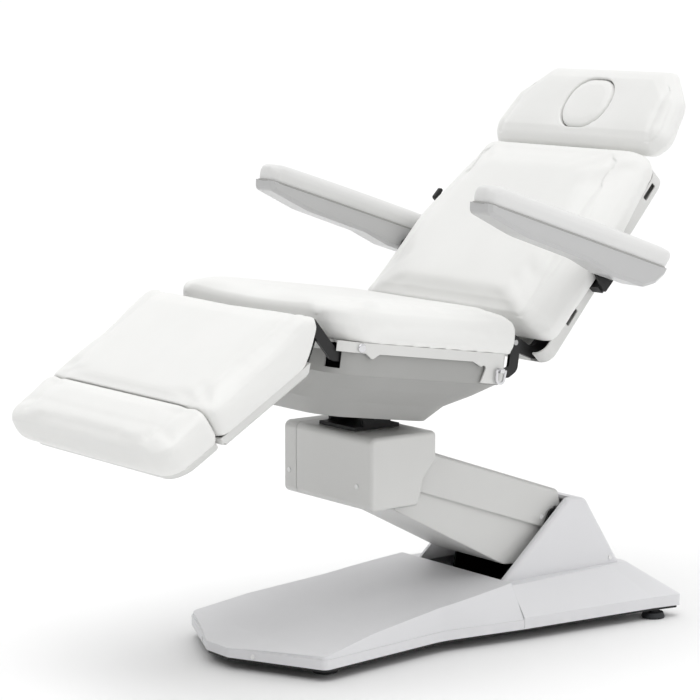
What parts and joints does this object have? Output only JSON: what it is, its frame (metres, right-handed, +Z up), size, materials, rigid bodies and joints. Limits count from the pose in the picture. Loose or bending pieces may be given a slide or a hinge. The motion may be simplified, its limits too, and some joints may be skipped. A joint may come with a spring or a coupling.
{
  "type": "electric facial bed",
  "caption": "White upholstered electric facial and spa bed on a parallel-arm lift, with hinged back, leg section, headrest with breathing hole and swing-up arm rests.",
  "frame": {"origin": "on the floor under the middle of the bed as it stands in the picture", "axes": "+Z up, +X towards the headrest, +Y towards the left arm rest of a person lying on the bed"},
  "size_m": [1.5221, 0.86, 1.266],
  "materials": {
    "white_upholstery": "white polyurethane-coated upholstery cloth over foam, fine grain, satin",
    "base_plastic": "pale grey, fine satin",
    "lift_plastic": "pale grey, satin",
    "seat_plastic": "pale grey, satin",
    "hull_plastic": "mid grey, satin",
    "rest_plastic": "pale grey, soft gloss",
    "black_steel": "black powder coat",
    "bright_steel": "ground steel",
    "chrome": "bright chrome",
    "black_rubber": "black, matt",
    "black_plastic": "black, matt",
    "white_plastic": "white screw caps",
    "board_wood": "plywood board, dark stain"
  },
  "bodies": {
    "base": {"base_plate": "black_steel", "base_rails": "black_steel", "levelling_feet": "black_rubber", "base_cover": "base_plastic", "rear_cover": "base_plastic", "tower_screws": "white_plastic", "tower_bracket": "black_steel", "tower_pins": "bright_steel"},
    "upper_arm": {"upper_link": "black_steel", "upper_arm_cover": "lift_plastic", "arm_screws": "white_plastic"},
    "lower_arm": {"lower_link": "black_steel", "lower_arm_cover": "lift_plastic"},
    "column": {"column_housing": "lift_plastic", "column_lid": "lift_plastic", "column_yoke": "black_steel", "column_pins": "bright_steel", "column_screws": "white_plastic", "tilt_bracket": "black_steel", "tilt_shaft": "bright_steel"},
    "seat": {"seat_frame": "black_steel", "leg_hinge_pins": "bright_steel", "back_hinge_pins": "bright_steel", "seat_tray": "seat_plastic", "seat_underbody": "hull_plastic", "seat_cushion": "white_upholstery", "side_caps": "chrome", "ring_keepers": "chrome"},
    "ring_right": {"pull_ring_right": "chrome"},
    "ring_left": {"pull_ring_left": "chrome"},
    "leg": {"leg_cushion": "white_upholstery", "leg_tray": "seat_plastic", "leg_frame": "black_steel"},
    "foot": {"foot_cushion": "white_upholstery", "foot_tray": "seat_plastic", "foot_rods": "bright_steel"},
    "back": {"back_cushion": "white_upholstery", "back_shell": "seat_plastic", "back_frame": "black_steel", "arm_mounts": "black_steel", "arm_pins": "bright_steel", "handset_hook": "black_plastic"},
    "head_carrier": {"head_carrier": "black_steel", "head_hinge_pins": "bright_steel"},
    "headrest": {"head_cushion": "white_upholstery", "head_board": "board_wood"},
    "plug": {"head_plug": "white_upholstery"},
    "arm_right": {"arm_shell_right": "rest_plastic", "arm_pad_right": "white_upholstery"},
    "arm_left": {"arm_shell_left": "rest_plastic", "arm_pad_left": "white_upholstery"}
  },
  "joints": [
    {"name": "lift", "type": "hinge", "parent": "base", "child": "upper_arm", "pos_m": [0.444, 0, 0.254], "axis": [0, 1, 0], "range_deg": [-13, 25]},
    {"name": "lower_bar", "type": "hinge", "parent": "base", "child": "lower_arm", "pos_m": [0.444, 0, 0.194], "axis": [0, 1, 0], "range_deg": [-13, 25]},
    {"name": "column_level", "type": "hinge", "parent": "upper_arm", "child": "column", "pos_m": [-0.00863, 0, 0.41074], "axis": [0, 1, 0], "range_deg": [-25, 13]},
    {"name": "seat_tilt", "type": "hinge", "parent": "column", "child": "seat", "pos_m": [-0.031, 0, 0.53], "axis": [0, 1, 0], "range_deg": [-8.4, 6.6]},
    {"name": "leg_lift", "type": "hinge", "parent": "seat", "child": "leg", "pos_m": [-0.37433, 0, 0.77882], "axis": [0, 1, 0], "range_deg": [-30, 39.4]},
    {"name": "foot_slide", "type": "slide", "parent": "leg", "child": "foot", "axis": [-0.8572, 0, -0.515], "range_m": [0, 0.15]},
    {"name": "back_recline", "type": "hinge", "parent": "seat", "child": "back", "pos_m": [0.18472, 0, 0.69021], "axis": [0, 1, 0], "range_deg": [-12, 54.4]},
    {"name": "head_slide", "type": "slide", "parent": "back", "child": "head_carrier", "axis": [0.6947, 0, 0.7193], "range_m": [0, 0.08]},
    {"name": "head_tilt", "type": "hinge", "parent": "head_carrier", "child": "headrest", "pos_m": [0.67008, 0, 1.0834], "axis": [0, 1, 0], "range_deg": [-10, 25]},
    {"name": "plug_lift", "type": "slide", "parent": "headrest", "child": "plug", "axis": [-0.7934, 0, 0.6088], "range_m": [0, 0.1]},
    {"name": "arm_swing_right", "type": "hinge", "parent": "back", "child": "arm_right", "pos_m": [0.37656, -0.391, 0.84136], "axis": [0, 1, 0], "range_deg": [0, 110]},
    {"name": "arm_swing_left", "type": "hinge", "parent": "back", "child": "arm_left", "pos_m": [0.37656, 0.391, 0.84136], "axis": [0, 1, 0], "range_deg": [0, 110]},
    {"name": "ring_swing_right", "type": "hinge", "parent": "seat", "child": "ring_right", "pos_m": [0.11432, -0.316, 0.63793], "axis": [-0.9893, 0, 0.1461], "range_deg": [0, 80]},
    {"name": "ring_swing_left", "type": "hinge", "parent": "seat", "child": "ring_left", "pos_m": [0.11432, 0.316, 0.63793], "axis": [0.9893, 0, -0.1461], "range_deg": [0, 80]}
  ],
  "couplings": [
    {"joint": "lower_bar", "follows": "lift", "ratio": 1},
    {"joint": "column_level", "follows": "lift", "ratio": -1}
  ]
}
